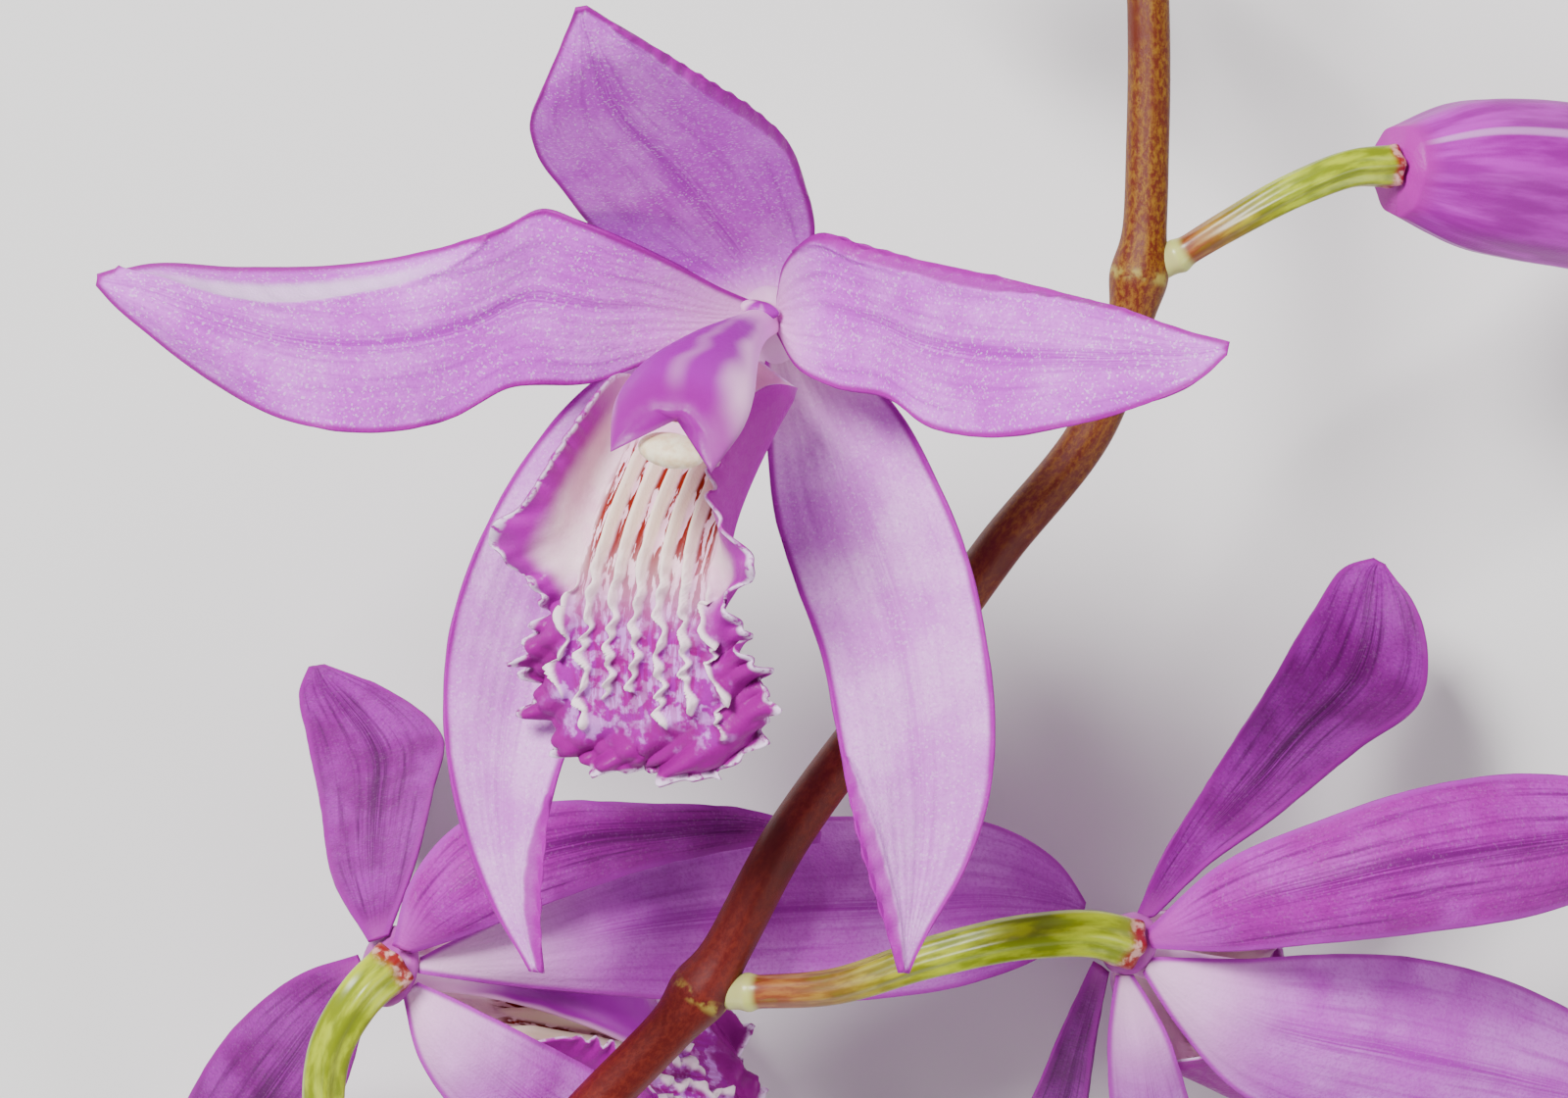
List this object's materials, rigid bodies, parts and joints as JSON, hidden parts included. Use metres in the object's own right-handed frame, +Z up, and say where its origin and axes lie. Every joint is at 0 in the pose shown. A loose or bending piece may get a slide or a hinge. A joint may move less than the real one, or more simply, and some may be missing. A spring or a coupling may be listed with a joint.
{
  "type": "cut bletilla orchid stem",
  "caption": "Cut flowering stem of a bletilla orchid lying on a surface: open pink blooms with crisped, keeled lips, a closed bud and small buds at the tip.",
  "frame": {"origin": "on the surface that the stem lies on, below the middle of the whole stem", "axes": "+Z up from the surface, towards the bloom that faces up; +Y from the cut end towards the stem's tip; +X towards the large bud's side"},
  "size_m": [0.0854, 0.1116, 0.055],
  "materials": {
    "petal": "pink-lilac petal with a fine sparkle and a deep magenta rim",
    "petal_pale": "pale pink sepal, smoother, paler towards the centre",
    "petal_back": "magenta back of a petal with lengthwise veins",
    "lip": "white-pink lip with cream keels and a magenta crisped edge",
    "column": "magenta hood on a white base",
    "stalk": "glossy yellow-green, ribbed",
    "bud": "magenta bud with pale sepal edges",
    "stem": "satin maroon-brown with olive mottling"
  },
  "bodies": {
    "root": {"front_left_petal": "petal", "front_right_petal": "petal", "front_dorsal_sepal": "petal", "front_left_sepal": "petal_pale", "front_right_sepal": "petal_pale", "right_dorsal_sepal": "petal_back", "right_upper_petal": "petal_back", "right_lower_petal": "petal_pale", "right_lower_sepal": "petal_back", "right_outer_sepal": "petal_back", "left_dorsal_sepal": "petal_back", "left_upper_petal": "petal_back", "left_long_petal": "petal_pale", "left_lower_sepal": "petal_back", "left_outer_sepal": "petal_back", "front_lip": "lip", "right_lip": "lip", "left_lip": "lip", "front_column": "column", "right_column": "column", "left_column": "column", "front_stalk": "stalk", "right_stalk": "stalk", "left_stalk": "stalk", "bud_stalk": "stalk", "small_bud_stalk": "stalk", "tip_bud_stalk": "stalk", "bud": "bud", "small_bud": "bud", "tip_bud": "bud", "stem": "stem"}
  },
  "joints": []
}
